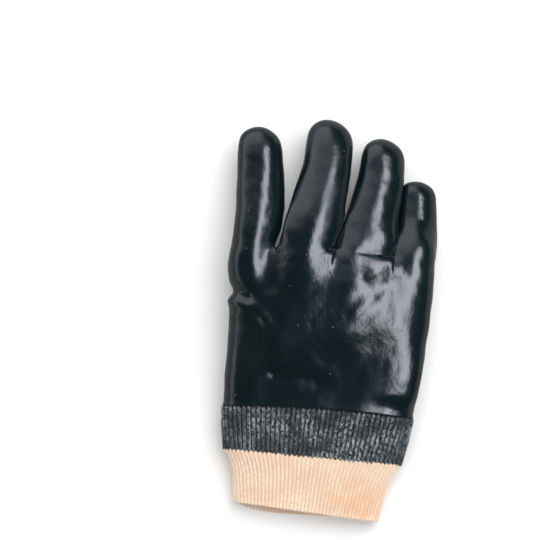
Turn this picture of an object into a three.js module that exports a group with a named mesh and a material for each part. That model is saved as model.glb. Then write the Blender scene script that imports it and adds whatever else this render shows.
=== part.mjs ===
// A right-hand work glove dipped in glossy black PVC, with a ribbed knit wrist whose upper part is dipped
// too. It lies palm down with the thumb folded under the palm, so the back of the hand arches over the thumb.
// Millimetres. +Y runs from the knit wrist to the fingertips, +X to the little finger and +Z up.

import * as THREE from "three";

// Driving sizes of the dipped hand.
const palmLength = 100; // from the dipped hand's lower edge to the bottom of the finger gaps
const palmWidth = 133; // across the knuckles
const rimWidth = 125; // across the lower edge
const rimHeight = 38;
const palmHeight = 31; // through the palm at the knuckles
const heelHeight = 37; // through the hand where the thumb branches off
const middleLength = 88; // the middle finger beyond the finger gaps
const fingerWidth = 32.5;
const fingerHeight = 26.5;
const tipReach = 1.03; // the middle of a fingertip, in lengths of the finger
const droopPower = 1.5; // more leaves a finger straight for longer before it sinks towards its tip
const thumbWidth = 32;
const thumbHeight = 19;
const wall = 1.9; // jersey liner and PVC together
const handSink = 1.1; // the hand's own weight presses its lowest parts this far flat
const rimSlant = -6.5; // how far the lower edge drops on the thumb side

// Driving sizes of the ribbed knit wrist, one tube whose upper part is dipped.
const bandLength = 29;
const bandEndWidth = 116;
const bandEndHeight = 28;
const bandSlant = -3.3;
const cuffLength = 39;
const cuffWaistWidth = 101;
const cuffWaistHeight = 22;
const cuffEndWidth = 95;
const cuffEndHeight = 17;
const cuffSlant = 1.9;
const cuffLip = 4.2; // the palm side of the cuff is longer towards the thumb side
const ribCount = 88;
const ribDepth = 0.8;
const bandWall = 2.2;
const cuffWall = 2.0;
const coatStep = 0.6; // the smooth coat stands this far proud of the dipped ribs
const dipStep = 0.25; // the dipped ribs stand this far proud of the bare ones
const seamGap = 0.3;
const waistShare = 0.42; // where along the bare cuff its waist lies
const belly = 0.008; // how much the band swells and the cuff draws in between its ends, of the width
const ribSink = 0.9; // the knit's own weight presses its lowest ribs this far flat

const sectionPower = 2.8; // 2 is an ellipse, more is boxier
const arcSteps = 40; // steps between two points, for spacing them evenly round a section

// Columns across the hand: three for each finger, with the finger gaps between them.
const fingerColumns = 3;
const ringSides = 8;
const mitreLimit = 1.35;
const splineShrink = 0.902; // an eight-sided cage ring smooths to a loop this much smaller

// One row a finger. Places are shares of palmWidth from the hand's middle line, lengths of middleLength,
// widths and heights of the finger sizes, rises of palmHeight. bow is how far the middle swings out.
const fingers = [
  { name: "index", root: -0.406, tip: -0.443, bow: 0.012, length: 0.9,
    rootWidth: 0.83, width: 0.95, tipWidth: 0.86, height: 0.96, rootRise: 1.0, tipRise: 0.68 },
  { name: "middle", root: -0.167, tip: -0.118, bow: 0.042, length: 1.025,
    rootWidth: 1.05, width: 1, tipWidth: 0.88, height: 1, rootRise: 1.2, tipRise: 0.56 },
  { name: "ring", root: 0.11, tip: 0.162, bow: 0.026, length: 0.935,
    rootWidth: 1.07, width: 0.95, tipWidth: 0.85, height: 0.96, rootRise: 0.9, tipRise: 0.42 },
  { name: "little", root: 0.372, tip: 0.358, bow: 0.015, length: 0.645,
    rootWidth: 0.94, width: 0.75, tipWidth: 0.66, height: 0.8, rootRise: 0.6, tipRise: 0.34 },
];

// Sections along a finger: share of its length, and how much of the root's and tip's size each one has.
const fingerSections = [
  { along: 0.08, rootShare: 0.75, tipShare: 0 },
  { along: 0.26, rootShare: 0.55, tipShare: 0 },
  { along: 0.5, rootShare: 0, tipShare: 0.15 },
  { along: 0.73, rootShare: 0, tipShare: 0.5 },
  { along: 0.9, rootShare: 0, tipShare: 1 },
];

// Sections of the palm from the lower edge to the knuckles. along is a share of palmLength, spread goes from
// the lower edge's width to the knuckles', bulge is how much the fingers show, and lift and floor are how far
// the back and the palm side have risen to the height that the thumb gives them.
const palmSections = [
  { along: 0, spread: 0, bulge: 0, lift: 0, floor: 0 },
  { along: 0.09, spread: 0.15, bulge: 0, lift: 0.08, floor: 0 },
  { along: 0.24, spread: 0.4, bulge: 0, lift: 0.25, floor: 0 },
  { along: 0.43, spread: 0.6, bulge: 0, lift: 0.55, floor: 0.38 },
  { along: 0.61, spread: 0.8, bulge: 0.1, lift: 0.85, floor: 1 },
  { along: 0.8, spread: 0.95, bulge: 0.42, lift: 1, floor: 1 },
  { along: 0.92, spread: 1, bulge: 0.8, lift: 1, floor: 1 },
  { along: 1, spread: 1, bulge: 1, lift: 1, floor: 1 },
];
const knuckleRow = palmSections.length - 1;

// The thumb branches off the palm side through a hole two columns wide and two rows long.
const thumbHole = { firstColumn: 1, lastColumn: 3, rearRow: 2, frontRow: 4 };
// Sections along the thumb: shares of palmLength, palmWidth and the thumb's width and height. lean is how far
// the top of a section lies ahead of its foot.
const thumbSections = [
  { along: 0.56, across: -0.245, lean: 0.13, width: 1.0, height: 0.86 },
  { along: 0.72, across: -0.22, lean: 0.04, width: 1, height: 0.95 },
  { along: 0.87, across: -0.195, lean: 0, width: 0.96, height: 0.97 },
  { along: 1.0, across: -0.175, lean: 0, width: 0.86, height: 0.88 },
];
const thumbTip = { along: 1.09, across: -0.16, rise: 0.42 };
const shaftFlare = 1.3; // the hand reaches its full height this much sooner than its full lift
const edgeFullness = 0.15; // how far the hand's edges stand out beyond the outer columns, in finger widths

// The main folds on the back. Each runs from one place to another: across is a share of palmWidth from the
// hand's middle line, along a share of palmLength from its lower edge. width, a share of palmWidth, is how
// far it fades out to a third, and rise, a share of palmHeight, how high it stands.
const folds = [
  { name: "thumb crotch", fromAcross: -0.53, fromAlong: 0.68,
    toAcross: -0.41, toAlong: 0.64, width: 0.038, rise: -0.085 },
  { name: "roll by the crotch", fromAcross: -0.47, fromAlong: 0.59,
    toAcross: -0.33, toAlong: 0.54, width: 0.045, rise: 0.035 },
  { name: "roll to the wrist", fromAcross: -0.33, fromAlong: 0.54,
    toAcross: -0.23, toAlong: 0.33, width: 0.045, rise: 0.032 },
  { name: "index valley", fromAcross: -0.29, fromAlong: 1.04,
    toAcross: -0.32, toAlong: 0.78, width: 0.045, rise: -0.052 },
  { name: "middle valley", fromAcross: -0.03, fromAlong: 1.04,
    toAcross: -0.045, toAlong: 0.74, width: 0.053, rise: -0.058 },
  { name: "ring crease", fromAcross: 0.26, fromAlong: 1,
    toAcross: 0.165, toAlong: 0.83, width: 0.038, rise: -0.065 },
  { name: "ring crease roll", fromAcross: 0.3, fromAlong: 0.84,
    toAcross: 0.15, toAlong: 0.57, width: 0.045, rise: 0.035 },
  { name: "little crease", fromAcross: 0.36, fromAlong: 0.92,
    toAcross: 0.345, toAlong: 0.66, width: 0.045, rise: -0.042 },
  { name: "wrist dimple", fromAcross: -0.06, fromAlong: 0.11,
    toAcross: 0.15, toAlong: 0.09, width: 0.045, rise: -0.035 },
];

const mix = (a, b, t) => a + (b - a) * t;
const clamp = (t) => Math.min(1, Math.max(0, t));
const smooth = (t) => clamp(t) ** 2 * (3 - 2 * clamp(t));

// A closed cage of named vertices and four-sided faces.
class Cage {
  constructor() {
    this.points = [];
    this.index = new Map();
    this.faces = [];
  }

  put(name, x, y, z) {
    this.index.set(name, this.points.length);
    this.points.push(new THREE.Vector3(x, y, z));
  }

  face(...names) {
    this.faces.push(names.map((name) => this.index.get(name)));
  }
}

// The height, above or below the middle line, of a rounded box section at a share of its half width.
function crown(share) {
  return (1 - Math.min(1, Math.abs(share)) ** sectionPower) ** (1 / sectionPower);
}

// Centre line of a finger, at a share of its length: it swings sideways and droops towards its tip.
function fingerCentre(finger, along) {
  const sideways = mix(finger.root, finger.tip, smooth(along)) + finger.bow * Math.sin(Math.PI * along);
  const droop = Math.max(0, along) ** droopPower;
  return {
    x: palmWidth * sideways,
    y: palmLength + middleLength * finger.length * along,
    z: palmHeight * mix(finger.rootRise, finger.tipRise, droop),
  };
}

const columnCount = fingers.length * fingerColumns;

// Where column number i crosses the knuckles.
function knuckleColumn(i) {
  const finger = fingers[Math.floor(i / fingerColumns)];
  const side = (i % fingerColumns) - 1;
  const centre = fingerCentre(finger, 0);
  const halfWidth = (fingerWidth * finger.rootWidth) / 2;
  const rise = side === 0 ? 1 : Math.SQRT1_2;
  return {
    x: centre.x + side * halfWidth * Math.SQRT1_2,
    z: centre.z,
    bulge: (palmHeight / 2) * rise,
  };
}

// Height of the hand's middle surface over the thumb, from the fingers' roots.
function knuckleRise(x) {
  const roots = fingers.map((finger) => fingerCentre(finger, 0));
  const right = roots.findIndex((root) => root.x > x);
  if (right === 0) return roots[0].z;
  if (right < 0) return roots[roots.length - 1].z;
  const [a, b] = [roots[right - 1], roots[right]];
  return mix(a.z, b.z, smooth((x - a.x) / (b.x - a.x)));
}

// Whether a point of the palm side is the one that the thumb's hole leaves out.
function insideThumbHole(row, column) {
  const { firstColumn, lastColumn, rearRow, frontRow } = thumbHole;
  return row > rearRow && row < frontRow && column > firstColumn && column < lastColumn;
}

// Adds the palm: rows of columns on the back and on the palm side, with one row of points down each edge.
function addPalm(cage) {
  palmSections.forEach((section, row) => {
    const halfWidth = mix(rimWidth, palmWidth, section.spread) / 2;
    const back = mix(rimHeight, heelHeight, clamp(section.lift * shaftFlare)) / 2;
    for (let column = 0; column < columnCount; column += 1) {
      const knuckle = knuckleColumn(column);
      const even = (halfWidth * (2 * column - columnCount + 1)) / columnCount;
      const x = mix(even, knuckle.x, Math.sqrt(section.bulge));
      const y = palmLength * section.along + (rimSlant * (1 - section.along) * (1 - x / halfWidth)) / 2;
      const share = x / halfWidth;
      const middle = mix(rimHeight / 2, knuckleRise(x), section.lift);
      const smoothTop = middle + back * crown(share);
      const rimFoot = (rimHeight / 2) * (1 - crown(share));
      const smoothFoot = mix(rimFoot, knuckleRise(x) - (palmHeight / 2) * crown(share), section.floor);
      cage.put(`back${row}_${column}`, x, y, mix(smoothTop, knuckle.z + knuckle.bulge, section.bulge));
      if (!insideThumbHole(row, column)) {
        cage.put(`front${row}_${column}`, x, y, mix(smoothFoot, knuckle.z - knuckle.bulge, section.bulge));
      }
    }
    for (const [side, column] of [[-1, 0], [1, columnCount - 1]]) {
      const knuckle = knuckleColumn(column);
      const edge = knuckle.x + side * fingerWidth * edgeFullness;
      const x = mix(side * halfWidth, edge, section.bulge);
      const y = palmLength * section.along + (rimSlant * (1 - section.along) * (1 - side)) / 2;
      cage.put(`edge${row}_${column}`, x, y, mix(rimHeight / 2, knuckleRise(x), section.lift));
    }
  });
  for (let row = 0; row < knuckleRow; row += 1) {
    for (let column = 0; column + 1 < columnCount; column += 1) {
      cage.face(`back${row}_${column}`, `back${row}_${column + 1}`,
        `back${row + 1}_${column + 1}`, `back${row + 1}_${column}`);
      const overThumb = row >= thumbHole.rearRow && row < thumbHole.frontRow &&
        column >= thumbHole.firstColumn && column < thumbHole.lastColumn;
      if (!overThumb) {
        cage.face(`front${row}_${column}`, `front${row + 1}_${column}`,
          `front${row + 1}_${column + 1}`, `front${row}_${column + 1}`);
      }
    }
    const last = columnCount - 1;
    cage.face(`back${row}_0`, `back${row + 1}_0`, `edge${row + 1}_0`, `edge${row}_0`);
    cage.face(`edge${row}_0`, `edge${row + 1}_0`, `front${row + 1}_0`, `front${row}_0`);
    cage.face(`back${row}_${last}`, `edge${row}_${last}`,
      `edge${row + 1}_${last}`, `back${row + 1}_${last}`);
    cage.face(`edge${row}_${last}`, `front${row}_${last}`,
      `front${row + 1}_${last}`, `edge${row + 1}_${last}`);
  }
}

// Joins two rings of eight points that run round the same way.
function bridge(cage, from, to) {
  for (let k = 0; k < ringSides; k += 1) {
    const next = (k + 1) % ringSides;
    cage.face(from[k], to[k], to[next], from[next]);
  }
}

// Closes the end of a finger with four faces round its tip.
function cap(cage, ring, tipName) {
  for (let k = 0; k < ringSides; k += 2) {
    cage.face(ring[(k + 2) % ringSides], ring[k + 1], ring[k], tipName);
  }
}

// A ring of eight points round a centre. lean moves its top ahead of its foot.
function addRing(cage, name, centre, width, height, lean) {
  const names = [];
  for (let k = 0; k < ringSides; k += 1) {
    const angle = (2 * Math.PI * k) / ringSides;
    names.push(`${name}_${k}`);
    cage.put(
      `${name}_${k}`,
      centre.x + (width / 2 / splineShrink) * Math.cos(angle),
      centre.y + lean * Math.sin(angle),
      centre.z + (height / 2 / splineShrink) * Math.sin(angle),
    );
  }
  return names;
}

function addFingers(cage) {
  fingers.forEach((finger, f) => {
    const left = f * fingerColumns;
    const right = left + fingerColumns - 1;
    const root = fingerCentre(finger, 0);
    const halfWidth = (fingerWidth * finger.rootWidth) / 2;
    if (f > 0) cage.put(`edge${knuckleRow}_${left}`, root.x - halfWidth, root.y, root.z);
    if (f < fingers.length - 1) cage.put(`edge${knuckleRow}_${right}`, root.x + halfWidth, root.y, root.z);
    const at = (side, column) => `${side}${knuckleRow}_${column}`;
    let ring = [
      at("edge", right), at("back", right), at("back", left + 1), at("back", left),
      at("edge", left), at("front", left), at("front", left + 1), at("front", right),
    ];
    fingerSections.forEach((section, s) => {
      const centre = fingerCentre(finger, section.along);
      const widthShare = mix(mix(finger.width, finger.rootWidth, section.rootShare), finger.tipWidth,
        section.tipShare);
      const tall = mix(fingerHeight * finger.height, palmHeight, section.rootShare);
      const height = mix(tall, tall * (finger.tipWidth / finger.width), section.tipShare);
      const next = addRing(cage, `${finger.name}${s}`, centre, fingerWidth * widthShare, height, 0);
      bridge(cage, ring, next);
      ring = next;
    });
    const tip = fingerCentre(finger, tipReach);
    cage.put(`${finger.name}_tip`, tip.x, tip.y, tip.z);
    cap(cage, ring, `${finger.name}_tip`);
  });
  for (let f = 0; f + 1 < fingers.length; f += 1) {
    const [a, b] = [f * fingerColumns + fingerColumns - 1, (f + 1) * fingerColumns];
    const at = (side, column) => `${side}${knuckleRow}_${column}`;
    cage.face(at("back", a), at("back", b), at("edge", b), at("edge", a));
    cage.face(at("edge", a), at("edge", b), at("front", b), at("front", a));
  }
}

function addThumb(cage) {
  const { firstColumn: c, rearRow: r } = thumbHole;
  let ring = [
    `front${r + 1}_${c + 2}`, `front${r + 2}_${c + 2}`, `front${r + 2}_${c + 1}`, `front${r + 2}_${c}`,
    `front${r + 1}_${c}`, `front${r}_${c}`, `front${r}_${c + 1}`, `front${r}_${c + 2}`,
  ];
  thumbSections.forEach((section, s) => {
    const height = thumbHeight * section.height;
    const centre = {
      x: palmWidth * section.across,
      y: palmLength * section.along,
      z: height / 2,
    };
    const lean = palmLength * section.lean;
    const next = addRing(cage, `thumb${s}`, centre, thumbWidth * section.width, height, lean);
    bridge(cage, ring, next);
    ring = next;
  });
  const { along, across, rise } = thumbTip;
  cage.put("thumb_tip", palmWidth * across, palmLength * along, thumbHeight * rise);
  cap(cage, ring, "thumb_tip");
}

// Smooths a cage of four-sided faces once, by the Catmull-Clark rule. Open edges stay open.
function subdivide({ points, faces }) {
  const facePoints = faces.map((face) => {
    const middle = new THREE.Vector3();
    face.forEach((p) => middle.add(points[p]));
    return middle.divideScalar(face.length);
  });
  const edges = new Map();
  const key = (a, b) => (a < b ? `${a}_${b}` : `${b}_${a}`);
  faces.forEach((face, f) => {
    face.forEach((a, k) => {
      const b = face[(k + 1) % face.length];
      if (!edges.has(key(a, b))) edges.set(key(a, b), { a, b, faces: [] });
      edges.get(key(a, b)).faces.push(f);
    });
  });
  const made = points.map(() => new THREE.Vector3());
  const around = points.map(() => ({ faces: [], middles: [], open: [] }));
  faces.forEach((face, f) => face.forEach((p) => around[p].faces.push(facePoints[f])));
  for (const edge of edges.values()) {
    const middle = points[edge.a].clone().add(points[edge.b]).divideScalar(2);
    const isOpen = edge.faces.length === 1;
    for (const p of [edge.a, edge.b]) {
      around[p].middles.push(middle);
      if (isOpen) around[p].open.push(middle);
    }
    edge.point = made.length;
    const point = middle.clone();
    if (!isOpen) {
      const sides = facePoints[edge.faces[0]].clone().add(facePoints[edge.faces[1]]).divideScalar(2);
      point.add(sides).divideScalar(2);
    }
    made.push(point);
  }
  const total = (list) => list.reduce((sum, p) => sum.add(p), new THREE.Vector3());
  const average = (list) => total(list).divideScalar(list.length);
  points.forEach((point, p) => {
    const near = around[p];
    if (near.open.length) {
      made[p].copy(average(near.open).add(point).divideScalar(2));
      return;
    }
    const n = near.faces.length;
    made[p].copy(average(near.faces).addScaledVector(average(near.middles), 2));
    made[p].addScaledVector(point, n - 3).divideScalar(n);
  });
  const madeFaces = [];
  faces.forEach((face, f) => {
    const centre = made.length;
    made.push(facePoints[f]);
    face.forEach((p, k) => {
      const before = face[(k + face.length - 1) % face.length];
      const after = face[(k + 1) % face.length];
      madeFaces.push([p, edges.get(key(p, after)).point, centre, edges.get(key(before, p)).point]);
    });
  });
  return { points: made, faces: madeFaces };
}

// Unit normals of a faced surface at its points.
function normalsOf({ points, faces }) {
  const normals = points.map(() => new THREE.Vector3());
  for (const face of faces) {
    const one = points[face[2]].clone().sub(points[face[0]]);
    const other = points[face[3]].clone().sub(points[face[1]]);
    const normal = one.cross(other);
    face.forEach((p) => normals[p].add(normal));
  }
  return normals.map((normal) => normal.normalize());
}

// How far each point moves along its normal for the faces round it to move by one: more in tight folds.
function mitresOf({ points, faces }, normals) {
  const sums = points.map(() => ({ slope: 0, count: 0 }));
  for (const face of faces) {
    const one = points[face[2]].clone().sub(points[face[0]]);
    const normal = one.cross(points[face[3]].clone().sub(points[face[1]])).normalize();
    for (const p of face) {
      sums[p].slope += normal.dot(normals[p]);
      sums[p].count += 1;
    }
  }
  return sums.map(({ slope, count }) => (slope * mitreLimit > count ? count / slope : mitreLimit));
}

// A hollow solid between an open skin and the same skin moved inwards by a wall, joined round the open edge.
function shellGeometry(skin, thickness) {
  const normals = normalsOf(skin);
  const mitres = mitresOf(skin, normals);
  const inner = skin.points.map((point, p) => {
    const moved = point.clone().addScaledVector(normals[p], -thickness * mitres[p]);
    moved.z = Math.max(moved.z, thickness);
    return moved;
  });
  const shift = skin.points.length;
  const used = new Map();
  const faces = [];
  for (const face of skin.faces) {
    faces.push(face, face.map((p) => p + shift).reverse());
    face.forEach((a, k) => used.set(`${a}_${face[(k + 1) % face.length]}`, [a, face[(k + 1) % face.length]]));
  }
  for (const [a, b] of used.values()) {
    if (!used.has(`${b}_${a}`)) faces.push([b, a, a + shift, b + shift]);
  }
  return quadGeometry([...skin.points, ...inner], faces);
}

// Four-sided faces as triangles, split along the shorter diagonal.
function quadGeometry(points, faces) {
  const indices = [];
  for (const [a, b, c, d] of faces) {
    const alongAC = points[a].distanceTo(points[c]) <= points[b].distanceTo(points[d]);
    indices.push(...(alongAC ? [a, b, c, a, c, d] : [a, b, d, b, c, d]));
  }
  const geometry = new THREE.BufferGeometry().setFromPoints(points);
  geometry.setIndex(indices);
  geometry.computeVertexNormals();
  return geometry;
}

// How high the folds raise the back at a place.
function foldRise(x, y) {
  return folds.reduce((sum, fold) => {
    const from = new THREE.Vector3(fold.fromAcross * palmWidth, fold.fromAlong * palmLength, 0);
    const to = new THREE.Vector3(fold.toAcross * palmWidth, fold.toAlong * palmLength, 0);
    const place = new THREE.Vector3(x, y, 0);
    const nearest = new THREE.Line3(from, to).closestPointToPoint(place, true, new THREE.Vector3());
    const away = nearest.distanceTo(place) / (fold.width * palmWidth);
    return sum + fold.rise * palmHeight * Math.exp(-(away ** 2));
  }, 0);
}

// The dipped hand: palm, four fingers and thumb in one hollow skin, pressed flat where it meets the surface.
function handGeometry() {
  const cage = new Cage();
  addPalm(cage);
  addFingers(cage);
  addThumb(cage);
  const skin = subdivide(cage);
  const normals = normalsOf(skin);
  skin.points.forEach((point, p) => {
    const onBack = smooth((point.z - thumbHeight) / (palmHeight - thumbHeight)) * smooth(1 + normals[p].z);
    point.addScaledVector(normals[p], foldRise(point.x, point.y) * onBack);
    point.z = Math.max(point.z - handSink, 0);
  });
  return shellGeometry(skin, wall);
}

// Stations along the ribbed wrist, each a rounded box section that stands on the surface. slant is how far
// the station drops on the thumb side, and lip how much further its palm side reaches.
const bandStart = {
  y: -seamGap,
  width: rimWidth - 2 * coatStep,
  height: rimHeight - handSink - coatStep,
  slant: rimSlant,
  lip: 0,
};
const bandEnd = { y: -bandLength, width: bandEndWidth, height: bandEndHeight, slant: bandSlant, lip: 0 };
const cuffStart = {
  y: -bandLength - seamGap,
  width: bandEndWidth - 2 * dipStep,
  height: bandEndHeight - dipStep,
  slant: bandSlant,
  lip: 0,
};
const cuffWaist = {
  y: -bandLength - waistShare * cuffLength,
  width: cuffWaistWidth,
  height: cuffWaistHeight,
  slant: mix(bandSlant, cuffSlant, waistShare),
  lip: 0,
};
const cuffEnd = {
  y: -bandLength - cuffLength,
  width: cuffEndWidth,
  height: cuffEndHeight,
  slant: cuffSlant,
  lip: cuffLip,
};

// The station half way between two others, swollen by a share of its width.
function between(a, b, swell) {
  const station = {};
  for (const size of Object.keys(a)) station[size] = (a[size] + b[size]) / 2;
  station.width *= 1 + swell;
  return station;
}

const bandStations = [bandStart, between(bandStart, bandEnd, belly), bandEnd];
const cuffStations = [cuffStart, cuffWaist, between(cuffWaist, cuffEnd, -belly), cuffEnd];

// Evenly spaced points round a rounded box section, with the direction that faces out at each.
function sectionPoints(width, height, count) {
  const fine = arcSteps * count;
  const at = (k) => {
    const angle = (2 * Math.PI * k) / fine;
    const [c, s] = [Math.cos(angle), Math.sin(angle)];
    const reach = (Math.abs(c) ** sectionPower + Math.abs(s) ** sectionPower) ** (-1 / sectionPower);
    return new THREE.Vector2((width / 2) * c * reach, (height / 2) * s * reach);
  };
  const lengths = [0];
  for (let k = 1; k <= fine; k += 1) lengths.push(lengths[k - 1] + at(k).distanceTo(at(k - 1)));
  const found = [];
  let k = 0;
  for (let i = 0; i < count; i += 1) {
    while (lengths[k + 1] < (lengths[fine] * i) / count) k += 1;
    const along = at(k + 1).sub(at(k - 1)).normalize();
    found.push({ point: at(k), out: new THREE.Vector2(along.y, -along.x) });
  }
  return found;
}

// A ring of points round a station, every other one a rib's crest, or a smooth ring inside the ribs' valleys.
function ribRing(station, inset, depth) {
  const height = station.height + ribSink;
  return sectionPoints(station.width, height, 2 * ribCount).map(({ point, out }, i) => {
    const inwards = inset + (i % 2) * depth;
    const x = point.x - out.x * inwards;
    const z = Math.max(height / 2 + point.y - out.y * inwards - ribSink, inset);
    const thumbSide = (1 - point.x / (station.width / 2)) / 2;
    const palmSide = smooth(0.5 - point.y / height);
    const lip = station.lip * palmSide * Math.sin(Math.PI * Math.sqrt(1 - thumbSide)) ** 2;
    return new THREE.Vector3(x, station.y + station.slant * thumbSide - lip, z);
  });
}

// A tube of knitted ribs through its stations, from the hand outwards, hollow and open at both ends.
function ribbedTube(stations, thickness) {
  const around = 2 * ribCount;
  const outside = stations.map((station) => ribRing(station, 0, ribDepth));
  const inside = stations.map((station) => ribRing(station, thickness, 0));
  const rings = [...outside, ...inside.reverse()];
  const faces = [];
  rings.forEach((ring, r) => {
    const next = ((r + 1) % rings.length) * around;
    for (let i = 0; i < around; i += 1) {
      const j = (i + 1) % around;
      faces.push([r * around + i, r * around + j, next + j, next + i]);
    }
  });
  return quadGeometry(rings.flat(), faces);
}

const materials = {
  pvc: new THREE.MeshStandardMaterial({ color: 0x0b1113, roughness: 0.16, metalness: 0 }),
  dippedRib: new THREE.MeshStandardMaterial({ color: 0x1b2225, roughness: 0.42, metalness: 0 }),
  knit: new THREE.MeshStandardMaterial({ color: 0xe9c9a6, roughness: 0.92, metalness: 0 }),
};

function piece(name, geometry, material) {
  const mesh = new THREE.Mesh(geometry, material);
  mesh.name = name;
  return mesh;
}

const glove = new THREE.Group();
glove.add(piece("pvc_hand", handGeometry(), materials.pvc));
glove.add(piece("coated_rib_band", ribbedTube(bandStations, bandWall), materials.dippedRib));
glove.add(piece("knit_wrist", ribbedTube(cuffStations, cuffWall), materials.knit));

// The origin is under the middle of the glove, on the surface that it lies on.
const bounds = new THREE.Box3().setFromObject(glove);
const middle = bounds.getCenter(new THREE.Vector3());
glove.position.set(-middle.x, -middle.y, -bounds.min.z);

export default glove;
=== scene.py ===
# %% [markdown]
# This scene dresses a PVC coated work glove. The real glove is a sewn cotton jersey hand dipped in liquid
# PVC, on a tube of rib knit whose upper part is dipped too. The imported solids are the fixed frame: every
# piece here is placed from their boxes, in metres, and replaces the solid it stands for.

# %% Load the frame
import math
from collections import namedtuple

import bpy
import numpy as np
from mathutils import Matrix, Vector, noise


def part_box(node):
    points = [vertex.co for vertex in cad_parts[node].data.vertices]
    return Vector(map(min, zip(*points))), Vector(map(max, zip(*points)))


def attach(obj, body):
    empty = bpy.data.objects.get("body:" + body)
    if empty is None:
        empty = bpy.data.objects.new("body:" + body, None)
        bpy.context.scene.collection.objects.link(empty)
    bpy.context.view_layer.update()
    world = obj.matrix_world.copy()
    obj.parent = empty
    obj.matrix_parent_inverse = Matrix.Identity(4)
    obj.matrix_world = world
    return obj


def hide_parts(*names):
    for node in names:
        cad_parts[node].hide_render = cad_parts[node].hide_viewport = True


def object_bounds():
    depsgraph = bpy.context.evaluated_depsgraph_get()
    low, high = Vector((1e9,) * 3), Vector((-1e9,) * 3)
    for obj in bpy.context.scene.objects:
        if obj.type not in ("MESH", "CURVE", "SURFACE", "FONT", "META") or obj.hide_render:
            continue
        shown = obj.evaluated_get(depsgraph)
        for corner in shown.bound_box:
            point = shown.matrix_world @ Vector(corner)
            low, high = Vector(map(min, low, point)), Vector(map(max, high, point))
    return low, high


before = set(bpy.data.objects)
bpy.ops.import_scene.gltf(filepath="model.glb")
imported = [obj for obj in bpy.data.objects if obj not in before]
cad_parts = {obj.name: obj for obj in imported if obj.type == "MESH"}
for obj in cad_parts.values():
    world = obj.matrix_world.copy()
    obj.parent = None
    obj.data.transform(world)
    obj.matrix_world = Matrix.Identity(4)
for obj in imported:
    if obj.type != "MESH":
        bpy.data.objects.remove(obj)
cad_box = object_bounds()
mm = 0.001
band_low, band_high = (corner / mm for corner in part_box("coated_rib_band"))
cad_sizes = [round(v / mm, 1) for corner in cad_box for v in corner]
print("frame:", sorted(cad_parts), "box in mm:", cad_sizes)

# %% [markdown]
# All shapes are worked out in millimetres in the hand's own frame: x runs across from the hand's middle
# line towards the little finger, y from the dipped hand's lower edge towards the fingertips, and z up from
# the table. The ribbed band's box says where that frame lies, because the band is symmetric about the
# middle line and ends a seam's gap below the lower edge.

# %% Sizes of the hand, in millimetres
seam_gap = 0.3
middle_x = (band_low.x + band_high.x) / 2
rim_y = band_high.y + seam_gap
palm_length = 100
palm_width = 133
rim_width = 125
rim_height = 38
palm_height = 31
heel_height = 37
middle_length = 88
finger_width = 32.5
finger_height = 26.5
thumb_width = 32
thumb_height = 19
wall = 1.9
hand_sink = 1.1
rim_slant = -6.5
shaft_flare = 1.3
edge_fullness = 0.15
droop_power = 1.5
tip_reach = 1.03
section_power = 2.8
ring_sides = 8
spline_shrink = 0.902
finger_columns = 3

Finger = namedtuple(
    "Finger", "name root tip bow length root_width width tip_width height root_rise tip_rise roll"
)
fingers = [
    Finger("index", -0.406, -0.443, 0.012, 0.9, 0.83, 0.95, 0.86, 0.96, 1.0, 0.68, 0.02),
    Finger("middle", -0.167, -0.118, 0.042, 1.025, 1.05, 1, 0.88, 1, 1.2, 0.56, 0.02),
    Finger("ring", 0.11, 0.162, 0.026, 0.935, 1.07, 0.95, 0.85, 0.96, 0.9, 0.42, 0.16),
    Finger("little", 0.372, 0.358, 0.015, 0.645, 0.94, 0.75, 0.66, 0.8, 0.6, 0.34, 0.2),
]
FingerSection = namedtuple("FingerSection", "along root_share tip_share")
finger_sections = [
    FingerSection(0.08, 0.75, 0),
    FingerSection(0.26, 0.55, 0),
    FingerSection(0.5, 0, 0.15),
    FingerSection(0.73, 0, 0.5),
    FingerSection(0.9, 0, 1),
]
PalmSection = namedtuple("PalmSection", "along spread bulge lift floor")
palm_sections = [
    PalmSection(0, 0, 0, 0, 0),
    PalmSection(0.09, 0.15, 0, 0.08, 0),
    PalmSection(0.24, 0.4, 0, 0.25, 0),
    PalmSection(0.43, 0.6, 0, 0.55, 0.38),
    PalmSection(0.61, 0.8, 0.1, 0.85, 1),
    PalmSection(0.8, 0.95, 0.42, 1, 1),
    PalmSection(0.92, 1, 0.8, 1, 1),
    PalmSection(1, 1, 1, 1, 1),
]
ThumbSection = namedtuple("ThumbSection", "along across lean width height")
thumb_sections = [
    ThumbSection(0.56, -0.245, 0.13, 1, 0.86),
    ThumbSection(0.72, -0.22, 0.04, 1, 0.95),
    ThumbSection(0.87, -0.195, 0, 0.96, 0.97),
    ThumbSection(1, -0.175, 0, 0.86, 0.88),
]
thumb_tip = Vector((-0.16 * palm_width, 1.09 * palm_length, 0.42 * thumb_height))
knuckle_row = len(palm_sections) - 1
column_count = len(fingers) * finger_columns
hole_column, hole_rear_row = 1, 2


def mix(a, b, t):
    return a + (b - a) * t


def clamp(t):
    return min(1.0, max(0.0, t))


def smooth(t):
    return clamp(t) ** 2 * (3 - 2 * clamp(t))


print("hand frame: middle line x", round(middle_x, 2), "lower edge y", round(rim_y, 2))

# %% [markdown]
# The dipped hand is one skin with four fingers and a thumb. A real one is dipped on a hand-shaped former,
# so it has no hard edges. A coarse cage of four-sided faces under a Subdivision Surface makes such a skin:
# each finger is a tube of eight-sided rings that grows out of the palm's last row, and the thumb grows out
# of a hole in the palm side and folds forward under the palm.


# %% The cage
class Cage:
    def __init__(self):
        self.points = []
        self.index = {}
        self.faces = []

    def put(self, name, x, y, z):
        self.index[name] = len(self.points)
        self.points.append((x, y, z))

    def face(self, *names):
        self.faces.append([self.index[name] for name in names])


def crown(share):
    return (1 - min(1.0, abs(share)) ** section_power) ** (1 / section_power)


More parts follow.
